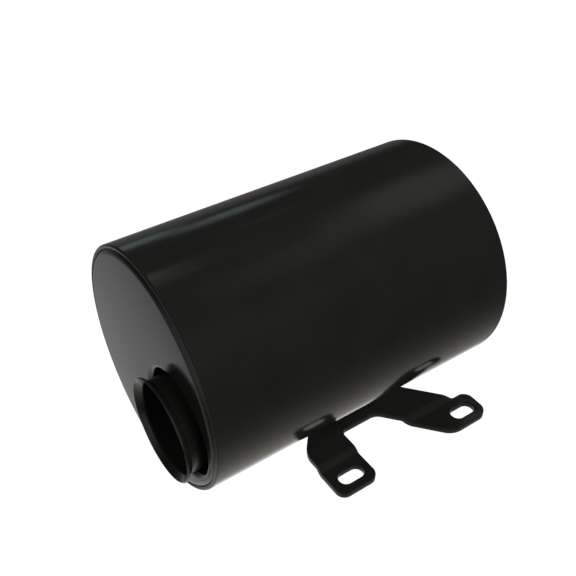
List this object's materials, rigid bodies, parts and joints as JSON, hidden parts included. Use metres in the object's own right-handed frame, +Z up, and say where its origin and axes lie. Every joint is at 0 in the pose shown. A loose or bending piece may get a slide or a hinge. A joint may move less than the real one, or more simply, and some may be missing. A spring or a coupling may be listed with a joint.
{
  "type": "hydraulic reservoir",
  "caption": "Horizontal cylindrical steel oil tank with flat ends, an open lipped suction neck in a round well, and a slotted plate bracket under one side.",
  "frame": {"origin": "centre between the bracket's two slots, on the underside of its ears, where the reservoir is bolted down", "axes": "+X runs along the shell's axis from the suction neck's end to the fittings' end, +Y from the ears towards the shell, +Z up, square to the bracket's plate"},
  "size_m": [0.2656, 0.1815, 0.1765],
  "materials": {
    "black_paint": "gloss black powder coat",
    "bare_steel": "oiled bare sheet steel",
    "stainless_steel": "pressed stainless sheet",
    "steel_mesh": "fine woven wire cloth",
    "spring_steel": "drawn spring wire",
    "brass_valve": "turned brass",
    "zinc_plate": "bright zinc plate",
    "washer_aluminium": "soft aluminium sealing washer",
    "anodised_aluminium": "satin anodised",
    "clear_glass": "clear toughened glass",
    "black_rubber": "nitrile rubber",
    "sintered_bronze": "porous sintered bronze",
    "magnet_steel": "ground magnet"
  },
  "bodies": {
    "reservoir": {"shell": "black_paint", "front_end_plate": "black_paint", "rear_end_plate": "black_paint", "front_seam_weld": "black_paint", "rear_seam_weld": "black_paint", "baffle_plate": "bare_steel", "baffle_tack_welds": "bare_steel", "suction_neck": "black_paint", "neck_weld": "black_paint", "strainer_seat_ring": "bare_steel", "mounting_bracket": "black_paint", "bracket_welds": "black_paint", "return_port_boss": "black_paint", "return_port_weld": "black_paint", "return_diffuser": "bare_steel", "diffuser_end_cap": "bare_steel", "sight_glass_boss": "black_paint", "sight_glass_weld": "black_paint", "sight_glass_bezel": "anodised_aluminium", "sight_glass_lens": "clear_glass", "sight_glass_seal": "black_rubber", "filler_boss": "black_paint", "filler_boss_weld": "black_paint", "drain_boss": "black_paint", "drain_boss_weld": "black_paint"},
    "strainer": {"strainer_flange": "stainless_steel", "strainer_pull_bar": "stainless_steel", "strainer_gasket": "black_rubber", "strainer_core": "stainless_steel", "strainer_mesh": "steel_mesh", "strainer_end_cap": "stainless_steel", "bypass_spring_cage": "stainless_steel", "bypass_spring": "spring_steel"},
    "bypass_valve": {"bypass_poppet": "brass_valve"},
    "filler_plug": {"filler_plug": "zinc_plate", "filler_plug_washer": "washer_aluminium", "breather_filter_disc": "sintered_bronze", "breather_cover": "zinc_plate"},
    "drain_plug": {"drain_plug": "zinc_plate", "drain_plug_washer": "washer_aluminium", "drain_magnet": "magnet_steel"}
  },
  "joints": [
    {"name": "strainer_draw", "type": "slide", "parent": "reservoir", "child": "strainer", "axis": [-1, 0, 0], "range_m": [0, 0.18]},
    {"name": "bypass_lift", "type": "slide", "parent": "strainer", "child": "bypass_valve", "axis": [-1, 0, 0], "range_m": [0, 0.006], "stiffness_N_per_m": 800, "springref_m": -0.006, "deforming": ["bypass_spring"]},
    {"name": "filler_plug_out", "type": "slide", "parent": "reservoir", "child": "filler_plug", "axis": [1, 0, 0], "range_m": [0, 0.04]},
    {"name": "drain_plug_out", "type": "slide", "parent": "reservoir", "child": "drain_plug", "axis": [1, 0, 0], "range_m": [0, 0.04]}
  ]
}
